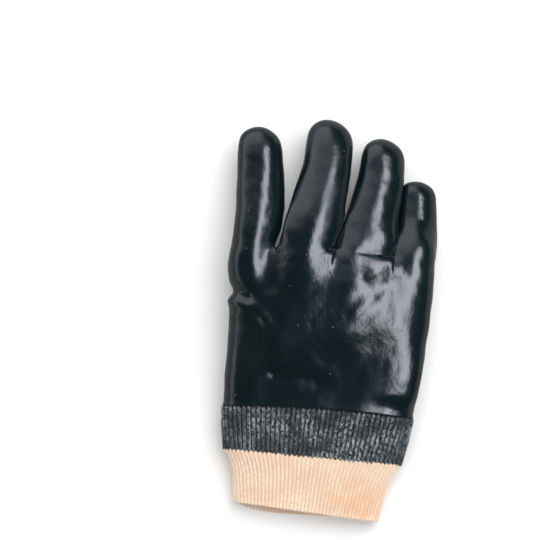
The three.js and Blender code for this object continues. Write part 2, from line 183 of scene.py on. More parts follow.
def finger_centre(finger, along):
    sideways = mix(finger.root, finger.tip, smooth(along)) + finger.bow * math.sin(math.pi * along)
    rise = mix(finger.root_rise, finger.tip_rise, max(0.0, along) ** droop_power)
    forward = palm_length + middle_length * finger.length * along
    return Vector((palm_width * sideways, forward, palm_height * rise))


def knuckle_column(i):
    finger = fingers[i // finger_columns]
    side = i % finger_columns - 1
    centre = finger_centre(finger, 0)
    rise = 1 if side == 0 else math.sqrt(0.5)
    offset = side * finger_width * finger.root_width / 2 * math.sqrt(0.5)
    return centre.x + offset, centre.z - finger.roll * offset, palm_height / 2 * rise


def knuckle_rise(x):
    roots = [finger_centre(finger, 0) for finger in fingers]
    if x <= roots[0].x:
        return roots[0].z
    for a, b in zip(roots, roots[1:]):
        if x < b.x:
            return mix(a.z, b.z, smooth((x - a.x) / (b.x - a.x)))
    return roots[-1].z


def add_palm(cage):
    for row, section in enumerate(palm_sections):
        half_width = mix(rim_width, palm_width, section.spread) / 2
        back = mix(rim_height, heel_height, clamp(section.lift * shaft_flare)) / 2
        for column in range(column_count):
            knuckle_x, knuckle_z, bulge = knuckle_column(column)
            even = half_width * (2 * column - column_count + 1) / column_count
            x = mix(even, knuckle_x, math.sqrt(section.bulge))
            share = x / half_width
            y = palm_length * section.along + rim_slant * (1 - section.along) * (1 - share) / 2
            top = mix(rim_height / 2, knuckle_rise(x), section.lift) + back * crown(share)
            rim_foot = rim_height / 2 * (1 - crown(share))
            foot = mix(rim_foot, knuckle_rise(x) - palm_height / 2 * crown(share), section.floor)
            cage.put(f"back{row}_{column}", x, y, mix(top, knuckle_z + bulge, section.bulge))
            if not (row == hole_rear_row + 1 and column == hole_column + 1):
                cage.put(f"front{row}_{column}", x, y, mix(foot, knuckle_z - bulge, section.bulge))
        for side, column in ((-1, 0), (1, column_count - 1)):
            edge = knuckle_column(column)[0] + side * finger_width * edge_fullness
            x = mix(side * half_width, edge, section.bulge)
            y = palm_length * section.along + rim_slant * (1 - section.along) * (1 - side) / 2
            cage.put(f"edge{row}_{column}", x, y, mix(rim_height / 2, knuckle_rise(x), section.lift))


def add_palm_faces(cage):
    last = column_count - 1
    for row in range(knuckle_row):
        for column in range(last):
            here, ahead = f"{row}_{column}", f"{row + 1}_{column}"
            beside, across = f"{row}_{column + 1}", f"{row + 1}_{column + 1}"
            cage.face("back" + here, "back" + beside, "back" + across, "back" + ahead)
            in_hole = 0 <= row - hole_rear_row < 2 and 0 <= column - hole_column < 2
            if not in_hole:
                cage.face("front" + here, "front" + ahead, "front" + across, "front" + beside)
        for column, sides in ((0, ("back", "front")), (last, ("front", "back"))):
            here, ahead = f"{row}_{column}", f"{row + 1}_{column}"
            cage.face(sides[0] + here, sides[0] + ahead, "edge" + ahead, "edge" + here)
            cage.face("edge" + here, "edge" + ahead, sides[1] + ahead, sides[1] + here)


def add_ring(cage, name, centre, width, height, lean=0.0, roll=0.0):
    names = [f"{name}_{k}" for k in range(ring_sides)]
    for k, corner in enumerate(names):
        angle = 2 * math.pi * k / ring_sides
        x = centre.x + width / 2 / spline_shrink * math.cos(angle)
        z = centre.z + height / 2 / spline_shrink * math.sin(angle) - roll * (x - centre.x)
        cage.put(corner, x, centre.y + lean * math.sin(angle), z)
    return names


def bridge(cage, ring, other):
    for k in range(ring_sides):
        cage.face(ring[k], other[k], other[(k + 1) % ring_sides], ring[(k + 1) % ring_sides])


def cap(cage, ring, tip_name):
    for k in range(0, ring_sides, 2):
        cage.face(ring[(k + 2) % ring_sides], ring[k + 1], ring[k], tip_name)


def add_fingers(cage):
    for f, finger in enumerate(fingers):
        left = f * finger_columns
        right = left + finger_columns - 1
        root = finger_centre(finger, 0)
        half_width = finger_width * finger.root_width / 2
        if f > 0:
            cage.put(f"edge{knuckle_row}_{left}", root.x - half_width, root.y, root.z)
        if f + 1 < len(fingers):
            cage.put(f"edge{knuckle_row}_{right}", root.x + half_width, root.y, root.z)
        sides = ("edge", right), ("back", right), ("back", left + 1), ("back", left)
        sides += ("edge", left), ("front", left), ("front", left + 1), ("front", right)
        ring = [f"{side}{knuckle_row}_{column}" for side, column in sides]
        for s, section in enumerate(finger_sections):
            wide = mix(finger.width, finger.root_width, section.root_share)
            width = finger_width * mix(wide, finger.tip_width, section.tip_share)
            tall = mix(finger_height * finger.height, palm_height, section.root_share)
            height = mix(tall, tall * finger.tip_width / finger.width, section.tip_share)
            centre = finger_centre(finger, section.along)
            ahead = add_ring(cage, f"{finger.name}{s}", centre, width, height, roll=finger.roll)
            bridge(cage, ring, ahead)
            ring = ahead
        cage.put(f"{finger.name}_tip", *finger_centre(finger, tip_reach))
        cap(cage, ring, f"{finger.name}_tip")
    for f in range(len(fingers) - 1):
        a, b = f * finger_columns + finger_columns - 1, (f + 1) * finger_columns
        web = [f"{side}{knuckle_row}_{column}" for side in ("back", "edge", "front") for column in (a, b)]
        cage.face(web[0], web[1], web[3], web[2])
        cage.face(web[2], web[3], web[5], web[4])


def add_thumb(cage):
    c, r = hole_column, hole_rear_row
    corners = (r + 1, c + 2), (r + 2, c + 2), (r + 2, c + 1), (r + 2, c)
    corners += (r + 1, c), (r, c), (r, c + 1), (r, c + 2)
    ring = [f"front{row}_{column}" for row, column in corners]
    for s, section in enumerate(thumb_sections):
        height = thumb_height * section.height
        centre = Vector((palm_width * section.across, palm_length * section.along, height / 2))
        lean = palm_length * section.lean
        ahead = add_ring(cage, f"thumb{s}", centre, thumb_width * section.width, height, lean)
        bridge(cage, ring, ahead)
        ring = ahead
    cage.put("thumb_tip", *thumb_tip)
    cap(cage, ring, "thumb_tip")


cage = Cage()
add_palm(cage)
add_palm_faces(cage)
add_fingers(cage)
add_thumb(cage)
print("cage:", len(cage.points), "points,", len(cage.faces), "faces")

# %% [markdown]
# Every piece starts as a list of points in the hand's frame and ends as a plain mesh in the row's frame,
# with its modifiers worked in. A few helpers do that the same way for all of them, and read the points back
# as arrays, because thousands of points are moved faster together than one by one.

# %% Helpers that turn points into pieces


def to_row(points):
    """Hand frame in millimetres to the row frame in metres."""
    return (np.asarray(points, float) + (middle_x, rim_y, 0)) * mm


def mesh_piece(name, points, faces):
    mesh = bpy.data.meshes.new(name)
    mesh.from_pydata(to_row(points).tolist(), [], faces)
    mesh.validate()
    piece = bpy.data.objects.new(name, mesh)
    bpy.context.scene.collection.objects.link(piece)
    return piece


def made_plain(piece):
    """The piece with its modifiers turned into plain mesh."""
    depsgraph = bpy.context.evaluated_depsgraph_get()
    mesh = bpy.data.meshes.new_from_object(piece.evaluated_get(depsgraph), depsgraph=depsgraph)
    piece.modifiers.clear()
    old = piece.data
    piece.data = mesh
    bpy.data.meshes.remove(old)
    mesh.name = piece.name
    return piece


def subdivide(piece, levels):
    smoothing = piece.modifiers.new("Smooth skin", "SUBSURF")
    smoothing.levels = smoothing.render_levels = levels
    return made_plain(piece)


def smooth_steps(values):
    values = np.clip(values, 0, 1)
    return values**2 * (3 - 2 * values)


def vertex_arrays(mesh):
    """Places in the hand frame in millimetres, and unit normals."""
    places = np.empty(len(mesh.vertices) * 3)
    mesh.vertices.foreach_get("co", places)
    normals = np.empty(len(mesh.vertices) * 3)
    mesh.vertices.foreach_get("normal", normals)
    return places.reshape(-1, 3) / mm - (middle_x, rim_y, 0), normals.reshape(-1, 3)


def place_vertices(mesh, places):
    mesh.vertices.foreach_set("co", to_row(places).ravel())
    mesh.update()


# %% [markdown]
# Folds carry the likeness of a glossy black glove: its colour is almost none, so the eye reads it from the
# reflections, and they follow the slopes. A fold is a stroke across the back that swells or sinks softly.
# Wider lumps and hollows are round dents, each with a place, a reach and a rise. Both are added to the
# smooth skin along its normals. The rows are given from where the real glove shines: there the skin has to
# lean towards the softbox on the right, and a swell leans that way on its right side. Sculpting by hand
# would do the same, but a table can be read and changed.

# %% Folds and dents on the back
Fold = namedtuple("Fold", "name points width rise")
folds = [
    Fold("thumb crotch", [(-70, 67), (-62, 67), (-54, 64)], 4, -3.0),
    Fold("roll by the crotch", [(-64, 62), (-48, 58), (-40, 52)], 3.8, 1.7),
    Fold("roll to the wrist", [(-40, 52), (-33, 42), (-29, 28)], 3.4, 0.9),
    Fold("little metacarpal", [(54, 28), (52, 92)], 24, 6.0),
    Fold("ring knuckle", [(11, 82), (7, 94)], 15, 4.2),
    Fold("ring metacarpal", [(9, 52), (5, 70)], 16, 3.4),
    Fold("index valley", [(-39, 98), (-40, 76)], 9, -2.0),
    Fold("ring crease", [(35, 98), (26, 102), (14, 101)], 1.9, -0.5),
    Fold("knuckle crease", [(38, 99), (28, 92), (19, 85)], 2.4, -0.35),
    Fold("ring roll", [(31, 83), (20, 70), (15, 62)], 3.5, 0.7),
    Fold("wrist hollow", [(-30, 16), (-4, 14)], 5, -2.0),
]
Dent = namedtuple("Dent", "name across along reach rise")
dents = [
    Dent("index swell", -62, 86, 14, 3.2),
    Dent("little swell", 36, 64, 18, 4.2),
    Dent("beside the knuckle crease", 36, 82, 8, 1.9),
    Dent("below the little gap", 35, 100, 12, 2.2),
    Dent("ring knuckle side", 30, 91, 8, 1.4),
    Dent("ring root", 31, 113, 9, 1.8),
    Dent("little root", 56, 112, 9, 1.2),
    Dent("edge hollow", 62, 48, 7, -1.2),
]


def dent_rise(places):
    rise = np.zeros(len(places))
    for dent in dents:
        away = np.hypot(places[:, 0] - dent.across, places[:, 1] - dent.along) / dent.reach
        rise += dent.rise * np.exp(-(away**2))
    return rise


def distance_to_stroke(places, points):
    """How far each place lies from a run of straight stretches, seen from above."""
    nearest = np.full(len(places), np.inf)
    for a, b in zip(points, points[1:]):
        a, b = np.array(a, float), np.array(b, float)
        along = np.clip((places[:, :2] - a) @ (b - a) / ((b - a) @ (b - a)), 0, 1)
        nearest = np.minimum(nearest, np.linalg.norm(places[:, :2] - a - along[:, None] * (b - a), axis=1))
    return nearest


def fold_rise(places):
    rise = np.zeros(len(places))
    for fold in folds:
        away = distance_to_stroke(places, fold.points) / fold.width
        rise += fold.rise * np.exp(-(away**2))
    return rise


# %% [markdown]
# The fingers of a limp glove press against each other, so the gaps between them are closed for most of
# their length. Each gap has a middle line, half its width as the cage makes it and half its width as it
# shall be, and the skin on both sides is moved towards or from that line.

# %% Closing the finger gaps
GapPlace = namedtuple("GapPlace", "along middle half_width closed_to")
gaps = {
    "index and middle": [
        GapPlace(94, -40.6, 0.6, 0.3),
        GapPlace(100, -39.6, 3.2, 0.3),
        GapPlace(110, -37.2, 3.6, 0.3),
        GapPlace(125, -35.4, 4.4, 1.4),
        GapPlace(145, -35.4, 5.5, 4.5),
    ],
    "middle and ring": [
        GapPlace(93, -3.9, 0.8, 0.05),
        GapPlace(103, -2.2, 2.6, 0.05),
        GapPlace(111, 0.0, 3.0, 0.05),
        GapPlace(116, 0.8, 3.5, 0.05),
        GapPlace(120, 1.7, 3.6, 0.05),
        GapPlace(124, 2.5, 3.6, 0.1),
        GapPlace(128, 3.0, 3.4, 1.5),
        GapPlace(136, 3.9, 3.2, 2.2),
        GapPlace(145, 4.7, 2.9, 2.6),
    ],
    "ring and little": [
        GapPlace(90, 33.4, 0.6, 0.3),
        GapPlace(100, 33.6, 2.2, 0.3),
        GapPlace(110, 34.6, 2.4, 0.3),
        GapPlace(130, 37.2, 2.0, 0.3),
        GapPlace(150, 37.6, 2.0, 0.6),
    ],
}
gap_reach = 11
gap_start = 8
gap_end = 12


def close_gaps(places):
    """Sideways moves that narrow the finger gaps and fade out a finger's half width away."""
    moves = np.zeros(len(places))
    for rows in gaps.values():
        columns = {name: [getattr(row, name) for row in rows] for name in GapPlace._fields}
        y = places[:, 1]
        middle = np.interp(y, columns["along"], columns["middle"])
        half = np.interp(y, columns["along"], columns["half_width"])
        target = np.interp(y, columns["along"], columns["closed_to"])
        fade = smooth_steps((y - rows[0].along + gap_start) / gap_start)
        fade *= smooth_steps((rows[-1].along + gap_end - y) / gap_end)
        away = places[:, 0] - middle
        far = np.abs(away)
        inner = far * target / half
        outer = target + (far - half) * (gap_reach - target) / (gap_reach - half)
        wanted = np.where(far < half, inner, np.where(far < gap_reach, outer, far))
        moves += np.sign(away) * (wanted - far) * fade
    return moves


# %% [markdown]
# The PVC ends in a rounded edge that stands proud of the ribs. Seen from above, that edge isn't straight:
# on the back it bows a few millimetres towards the fingers. The hand and the band share this bow, so they
# still meet. The band also holds the skin there, so the folds and dents fade out towards it.

# %% The lower edge of the dip
rim_bow = 3.0
rim_proud = 0.75
rim_hold = 14
bead_middle = 0.9
bead_width = 1.3
bow_reach = 45
bow_foot = 0.35
bow_rise = 0.4


def bow_at(x, z):
    """How far the lower edge moves towards the fingertips, most in the middle of the back."""
    on_top = smooth_steps((z / rim_height - bow_foot) / bow_rise)
    return rim_bow * np.clip(1 - (x / (rim_width / 2)) ** 2, 0, 1) * on_top


def above_edge(places):
    return places[:, 1] - rim_slant * (1 - places[:, 0] / (rim_width / 2)) / 2


def rim_bead(places):
    return rim_proud * np.exp(-(((above_edge(places) - bead_middle) / bead_width) ** 2))


# %% [markdown]
# The dipped hand puts these together: the smooth skin, its closed gaps, its folds and dents, the bead at
# its edge, and a last soft unevenness from noise, because no dip is quite even. Folds belong to the back
# only. The palm side stays as the former left it, and what would reach below the table is laid flat on it.

# %% The dipped hand
Ripple = namedtuple("Ripple", "size height octaves")
ripples = [Ripple(26, 0.5, 3), Ripple(9, 0.125, 2)]
skin_levels = 3


def skin_ripple(places):
    rise = np.zeros(len(places))
    for ripple in ripples:
        spots = [Vector(place) / ripple.size for place in places]
        rise += ripple.height * np.array([noise.fractal(spot, 1, 2, ripple.octaves) for spot in spots])
    return rise


hand = subdivide(mesh_piece("glove_hand", cage.points, cage.faces), skin_levels)
places, normals = vertex_arrays(hand.data)
bead = rim_bead(places)
places[:, 0] += close_gaps(places)
on_back = smooth_steps((places[:, 2] - thumb_height) / (palm_height - thumb_height))
on_back *= smooth_steps(1 + normals[:, 2])
held_by_band = smooth_steps(above_edge(places) / rim_hold)
lift = (fold_rise(places) + dent_rise(places)) * on_back * held_by_band
unevenness = skin_ripple(places)
places[:, 1] += bow_at(places[:, 0], places[:, 2]) * (1 - smooth_steps(places[:, 1] / bow_reach))
places += normals * (lift + bead + unevenness)[:, None]
places[:, 2] = np.maximum(places[:, 2] - hand_sink, 0)
place_vertices(hand.data, places)
hand.data.shade_smooth()
lowest, highest = lift.min().round(1), lift.max().round(1)
print("hand skin:", len(hand.data.polygons), "faces; lift from", lowest, "to", highest)

# %% [markdown]
# The wrist is one knitted tube. Its section is a rounded box that lies on the table, and its width, height
# and slant run smoothly through a few stations. Places on it are worked out from two numbers: how far
# round, in ribs, and how far down from the dipped hand's edge, in millimetres.

# %% Sizes of the wrist, in millimetres
rib_count = 88
arc_steps = 40
rib_depth = 0.85
band_length = 29
cuff_length = 39
band_wall = 2.2
cuff_wall = 2.0
coat_step = 0.6
dip_step = 0.25
rib_sink = 0.9
rib_points = 6
rib_sharpness = 1.4
inner_ribs = 0.35
band_overlap = 0.4
cuff_tuck = 1.5
tooth_seed = 5
tooth_range = 0.4, 1.3
tooth_reach = 3
edge_rounding = 0.5
edge_reach = 0.9
hem_middle = 1.1
hem_width = 1.2
last_even_row = 2.6
edge_rows = 1.7, 1.0, 0.5, 0.2, 0.0

Station = namedtuple("Station", "down width height slant lip")
stations = [
    Station(0, rim_width - 2 * coat_step, rim_height - hand_sink - coat_step, rim_slant, 0),
    Station(band_length / 2, 120.9, 31.2, -4.9, 0),
    Station(band_length, 116, 28, -3.3, 0),
    Station(band_length + 8, 106.5, 25.5, -1.9, 0),
    Station(band_length + 16.4, 101, 22, -1.1, 0),
    Station(band_length + 28, 97.6, 19.2, 0.4, 1.6),
    Station(band_length + cuff_length, 95, 17, 1.9, 4.2),
]


def at_down(column, down):
    """A station's size at a distance down the wrist."""
    return np.interp(down, [s.down for s in stations], [getattr(s, column) for s in stations])


def section_arcs(width, height, count):
    """Evenly spaced points round a rounded box, and the directions that face out."""
    angle = np.linspace(0, 2 * np.pi, arc_steps * count + 1)
    c, s = np.cos(angle), np.sin(angle)
    reach = (np.abs(c) ** section_power + np.abs(s) ** section_power) ** (-1 / section_power)
    x, z = width / 2 * c * reach, height / 2 * s * reach
    length = np.concatenate([[0], np.cumsum(np.hypot(np.diff(x), np.diff(z)))])
    even = length[-1] * np.arange(count) / count
    px, pz = np.interp(even, length, x), np.interp(even, length, z)
    dx, dz = np.roll(px, -1) - np.roll(px, 1), np.roll(pz, -1) - np.roll(pz, 1)
    size = np.hypot(dx, dz)
    return px, pz, dz / size, -dx / size


def wrist_ring(down, count, inset, flat=0.0):
    """One ring of points round the wrist. inset is one number for each point, or one for all."""
    width, height = at_down("width", down), at_down("height", down) + rib_sink
    x, z, out_x, out_z = section_arcs(width, height, count)
    thumb_side = (1 - x / (width / 2)) / 2
    palm_side = smooth_steps(0.5 - z / height)
    lip = at_down("lip", down) * palm_side * np.sin(np.pi * np.sqrt(1 - np.clip(thumb_side, 0, 1))) ** 2
    y = -down + at_down("slant", down) * thumb_side - lip
    y += bow_at(x, z + height / 2) * (1 - smooth_steps(down / band_length))
    z = np.maximum(z - out_z * inset + height / 2 - rib_sink, flat)
    return np.stack([x - out_x * inset, y, z], axis=1)


def tube_faces(ring_count, around):
    """Four-sided faces from each ring to the next, and from the last ring back to the first."""
    faces = []
    for r in range(ring_count):
        near, far = r * around, (r + 1) % ring_count * around
        for i in range(around):
            j = (i + 1) % around
            faces.append((near + i, near + j, far + j, far + i))
    return faces


def rib_profile():
    """How far each point round the wrist lies below its rib's crest, as a share of the rib's depth."""
    turn = 2 * np.pi * np.arange(rib_count * rib_points) / rib_points
    return ((1 - np.cos(turn)) / 2) ** rib_sharpness


def rows_to_an_edge(top, bottom, rows):
    """Rows down a tube that stand closer together by its lower edge, where that is rounded."""
    return np.concatenate([np.linspace(top, bottom - last_even_row, rows), bottom - np.array(edge_rows)])


def ribbed_tube(name, downs, thickness, step, teeth, hem):
    """teeth: how far the crests run past the valleys at the lower edge. hem: how far that edge swells."""
    profile = rib_profile()
    count = rib_count * rib_points
    tooth = np.repeat(np.random.default_rng(tooth_seed).uniform(*tooth_range, rib_count), rib_points)
    tooth *= 1 - profile
    rings = []
    for down in downs:
        to_edge = downs[-1] - down
        rounding = edge_rounding * clamp(1 - to_edge / edge_reach) ** 2
        swelling = hem * math.exp(-(((to_edge - hem_middle) / hem_width) ** 2))
        ring = wrist_ring(down, count, step + rib_depth * profile + rounding - swelling)
        ring[:, 1] -= teeth * tooth * clamp(1 - to_edge / tooth_reach)
        rings.append(ring)
    for down in downs[::-1]:
        rings.append(wrist_ring(down, count, thickness + inner_ribs * profile, thickness))
    tube = mesh_piece(name, np.concatenate(rings), tube_faces(len(rings), count))
    valley = tube.data.attributes.new("valley", "FLOAT", "POINT")
    valley.data.foreach_set("value", np.tile(profile, len(rings)))
    tube.data.shade_smooth()
    return tube


# %% [markdown]
# On the real wrist one knit runs through, and the dip stops partway down it. Here the dipped part and the
# bare part are two tubes with the same ribs, which overlap by two millimetres so that no light passes
# between them. The dip's lower edge is toothed, because PVC runs further down on the crests than in the
# valleys, and the free edge of the cuff swells a little, as a knitted edge that rolls does.

# %% The ribbed tubes
band_rows = rows_to_an_edge(0.0, band_length + band_overlap, 12)
cuff_rows = rows_to_an_edge(band_length - cuff_tuck, band_length + cuff_length, 20)
band = ribbed_tube("dipped_band", band_rows, band_wall, step=0.0, teeth=1.2, hem=0.0)
cuff = ribbed_tube("knit_cuff", cuff_rows, cuff_wall, step=dip_step, teeth=0.25, hem=0.35)
print("band:", len(band.data.polygons), "faces; cuff:", len(cuff.data.polygons), "faces")

# %% [markdown]
# Close up, each rib is a column of stitches, and each stitch is a V of two slanting legs of yarn. Thousands
# of alike pieces are work for Geometry Nodes: one V is built from two stretched balls of few faces and
# placed on points that lie on the ribs' crests. Every point carries two directions, out of the cloth and
# along the rib, so each V lies flat on its rib. Real Blender hair or a displacement map could show yarn
# too, but the V's cast their own small shadows and survive the export.

# %% Helpers for the stitch tree
stitch_tree = bpy.data.node_groups.new("knit stitches", "GeometryNodeTree")
stitch_inputs = {}


def math_node(tree, operation, first, second):
    """A Math node whose inputs are sockets or numbers."""
    node = tree.nodes.new("ShaderNodeMath")
    node.operation = operation
    for slot, value in enumerate((first, second)):
        if isinstance(value, (int, float)):
            node.inputs[slot].default_value = value
        else:
            tree.links.new(value, node.inputs[slot])
    return node.outputs[0]


def tree_input(name, kind, value=None):
    socket = stitch_tree.interface.new_socket(name, in_out="INPUT", socket_type=kind)
    if value is not None:
        socket.default_value = value
    stitch_inputs[name] = socket.identifier


def tree_node(kind, **values):
    """A node of the stitch tree. A value may be a number or vector, or the socket that feeds that input."""
    node = stitch_tree.nodes.new(kind)
    for name, value in values.items():
        socket = node.inputs[name.replace("_", " ")]
        if isinstance(value, bpy.types.NodeSocket):
            stitch_tree.links.new(value, socket)
        else:
            socket.default_value = value
    return node


def named_direction(name):
    node = tree_node("GeometryNodeInputNamedAttribute", Name=name)
    node.data_type = "FLOAT_VECTOR"
    return node.outputs["Attribute"]


# %% The inputs of the stitch tree
tree_input("Geometry", "NodeSocketGeometry")
tree_input("Leg Size", "NodeSocketVector", (0.4 * mm, 0.8 * mm, 0.35 * mm))
tree_input("Leg Spacing", "NodeSocketFloat", 0.42 * mm)
tree_input("Leg Lean", "NodeSocketFloat", 0.4)
tree_input("Unevenness", "NodeSocketFloat", 0.12)
tree_input("Seed", "NodeSocketInt", 3)
tree_input("Yarn", "NodeSocketMaterial")
stitch_tree.interface.new_socket("Geometry", in_out="OUTPUT", socket_type="NodeSocketGeometry")
given = stitch_tree.nodes.new("NodeGroupInput").outputs
print("stitch inputs:", list(stitch_inputs))

# %% One V of two legs
ball = tree_node("GeometryNodeMeshUVSphere", Segments=6, Rings=3, Radius=1.0).outputs["Mesh"]
both_legs = stitch_tree.nodes.new("GeometryNodeJoinGeometry")
for side in (-1, 1):
    spacing = math_node(stitch_tree, "MULTIPLY", given["Leg Spacing"], side)
    lean = math_node(stitch_tree, "MULTIPLY", given["Leg Lean"], side)
    leg = tree_node(
        "GeometryNodeTransform",
        Geometry=ball,
        Translation=tree_node("ShaderNodeCombineXYZ", X=spacing).outputs[0],
        Rotation=tree_node("ShaderNodeCombineXYZ", Z=lean).outputs[0],
        Scale=given["Leg Size"],
    )
    stitch_tree.links.new(leg.outputs["Geometry"], both_legs.inputs[0])
print("one V:", len(stitch_tree.nodes), "nodes so far")

# %% A V on every point
out_of_cloth, along_rib = named_direction("out"), named_direction("along")
facing = tree_node("FunctionNodeAxesToRotation", Primary_Axis=out_of_cloth, Secondary_Axis=along_rib)
facing.primary_axis = "Z"
facing.secondary_axis = "Y"
sizing = stitch_tree.nodes.new("FunctionNodeRandomValue")
sizing.data_type = "FLOAT_VECTOR"
least = math_node(stitch_tree, "SUBTRACT", 1, given["Unevenness"])
most = math_node(stitch_tree, "ADD", 1, given["Unevenness"])
stitch_tree.links.new(least, sizing.inputs["Min"])
stitch_tree.links.new(most, sizing.inputs["Max"])
stitch_tree.links.new(given["Seed"], sizing.inputs["Seed"])
placed = tree_node(
    "GeometryNodeInstanceOnPoints",
    Points=given["Geometry"],
    Instance=both_legs.outputs["Geometry"],
    Rotation=facing.outputs["Rotation"],
    Scale=sizing.outputs["Value"],
)
solid = tree_node("GeometryNodeRealizeInstances", Geometry=placed.outputs["Instances"])
rounded = tree_node("GeometryNodeSetShadeSmooth", Geometry=solid.outputs["Geometry"])
finished = tree_node("GeometryNodeSetMaterial", Geometry=rounded.outputs["Geometry"], Material=given["Yarn"])
result = stitch_tree.nodes.new("NodeGroupOutput")
stitch_tree.links.new(finished.outputs["Geometry"], result.inputs["Geometry"])
print("stitch tree:", len(stitch_tree.nodes), "nodes")

# %% [markdown]
# The dipped band's stitches are fat and close, because PVC fills them, and the bare cuff's are finer. Each
# kind has one row with its pitch along the rib, how deep it sits, the size and spacing of its two legs, and
# how far it stays from both ends of its tube. Crests that lie on the table carry none, since nobody sees
# them there.

# %% Stitches on the crests
Stitch = namedtuple("Stitch", "pitch inset leg_size leg_spacing top_gap end_gap seed")
band_stitch = Stitch(1.5, 0.12, (0.46, 0.78, 0.3), 0.46, 0.8, 0.2, 7)
cuff_stitch = Stitch(1.35, dip_step + 0.1, (0.38, 0.76, 0.32), 0.4, 0.9, 0.4, 8)
stitch_clearance = 1.0
stitch_lean = 0.42
stitch_unevenness = 0.14
probe_step = 1
probe_floor = -3 * rib_sink


def stitch_bed(name, start, end, stitch):
    """Loose points on the ribs' crests, each with its way out of the cloth and its way along the rib."""
    top, bottom = start + stitch.top_gap, end - stitch.end_gap
    rows = round((bottom - top) / stitch.pitch)
    spots, out, along = [], [], []
    for down in top + (bottom - top) * (np.arange(rows) + 0.5) / rows:
        crest = wrist_ring(down, rib_count, stitch.inset, -rib_sink)
        spots.append(crest)
        out.append(wrist_ring(down, rib_count, stitch.inset - probe_step, probe_floor) - crest)
        along.append(wrist_ring(down + probe_step, rib_count, stitch.inset, -rib_sink) - crest)
    spots, out, along = (np.concatenate(part) for part in (spots, out, along))
    clear = spots[:, 2] > stitch_clearance
    bed = mesh_piece(name, spots[clear], [])
    for label, directions in (("out", out[clear]), ("along", along[clear])):
        layer = bed.data.attributes.new(label, "FLOAT_VECTOR", "POINT")
        layer.data.foreach_set("vector", directions.ravel())
    return bed


def knit(bed, material, stitch):
    tree = bed.modifiers.new("Knit stitches", "NODES")
    tree.node_group = stitch_tree
    tree[stitch_inputs["Leg Size"]] = [v * mm for v in stitch.leg_size]
    tree[stitch_inputs["Leg Spacing"]] = stitch.leg_spacing * mm
    tree[stitch_inputs["Leg Lean"]] = stitch_lean
    tree[stitch_inputs["Unevenness"]] = stitch_unevenness
    tree[stitch_inputs["Seed"]] = stitch.seed
    tree[stitch_inputs["Yarn"]] = material
    return made_plain(bed)


def new_material(name):
    material = bpy.data.materials.new(name)
    material.use_nodes = True
    return material


dipped = new_material("PVC soaked rib")
rib_knit = new_material("cotton rib knit")
band_bed = stitch_bed("dipped_stitches", 0, band_length, band_stitch)
band_stitches = knit(band_bed, dipped, band_stitch)
cuff_bed = stitch_bed("cuff_stitches", band_length, band_length + cuff_length, cuff_stitch)
cuff_stitches = knit(cuff_bed, rib_knit, cuff_stitch)
print("stitches:", len(band_stitches.data.polygons), "and", len(cuff_stitches.data.polygons), "faces")

# %% [markdown]
# The real hand is one wall: PVC outside and cotton jersey inside. A Solidify modifier gives the skin that
# wall, inwards from the outer face, and its inner face takes the second material. Then each piece rides on
# the root body, and the solid it stands for is hidden.

# %% Wall and bodies
thickness = hand.modifiers.new("Jersey and PVC", "SOLIDIFY")
thickness.thickness = wall * mm
thickness.offset = -1
thickness.use_even_offset = False
thickness.material_offset = 1
made_plain(hand)
for piece, node, slot in (
    (hand, "pvc_hand", "pvc"),
    (band, "coated_rib_band", "dipped_rib"),
    (band_stitches, "coated_rib_band", "dipped_rib"),
    (cuff, "knit_wrist", "knit"),
    (cuff_stitches, "knit_wrist", "knit"),
):
    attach(piece, "root")
    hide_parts(node)
print("hand wall:", wall, "mm;", len(hand.data.polygons), "faces")

# %% [markdown]
# Four finishes cover the glove: glossy PVC, PVC that soaked into knit, bare cotton rib and the jersey
# liner. They share effects, and each effect is a node group that is built once and set to each finish's own
# sizes. All of them read Object coordinates, which are metres here, so a size is a size on the glove.


# %% Shared effects
def effect(name, inputs, outputs):
    """An empty shader group with named inputs, each with a starting value, and named outputs."""
    tree = bpy.data.node_groups.new(name, "ShaderNodeTree")
    for label, value in inputs.items():
        tree.interface.new_socket(label, in_out="INPUT", socket_type="NodeSocketFloat").default_value = value
    for label in outputs:
        tree.interface.new_socket(label, in_out="OUTPUT", socket_type="NodeSocketFloat")
    return tree, tree.nodes.new("NodeGroupInput").outputs, tree.nodes.new("NodeGroupOutput").inputs


def soft_step(tree, value, low, high):
    """Nothing below low, one above high, and smooth between them."""
    edge = tree.nodes.new("ShaderNodeMapRange")
    edge.interpolation_type = "SMOOTHSTEP"
    tree.links.new(value, edge.inputs["Value"])
    edge.inputs["From Min"].default_value = low
    edge.inputs["From Max"].default_value = high
    return edge.outputs["Result"]


def cloud(tree, size, detail, stretch=(1, 1, 1)):
    """Noise between 0 and 1 whose lumps measure size, a socket or number in millimetres."""
    place = tree.nodes.new("ShaderNodeTexCoord").outputs["Object"]
    stretching = tree.nodes.new("ShaderNodeVectorMath")
    stretching.operation = "MULTIPLY"
    stretching.inputs[1].default_value = stretch
    tree.links.new(place, stretching.inputs[0])
    lumps = tree.nodes.new("ShaderNodeTexNoise")
    lumps.inputs["Detail"].default_value = detail
    tree.links.new(stretching.outputs[0], lumps.inputs["Vector"])
    tree.links.new(math_node(tree, "DIVIDE", 1 / mm, size), lumps.inputs["Scale"])
    return lumps.outputs["Fac"]


skin_inputs = {"Lump Size": 9, "Grain Size": 1.1, "Grain Share": 0.2}
skin, given, put = effect("skin unevenness", skin_inputs, ["Height"])
lumps = cloud(skin, given["Lump Size"], 1)
grain = math_node(skin, "MULTIPLY", cloud(skin, given["Grain Size"], 2), given["Grain Share"])
skin.links.new(math_node(skin, "ADD", lumps, grain), put["Height"])

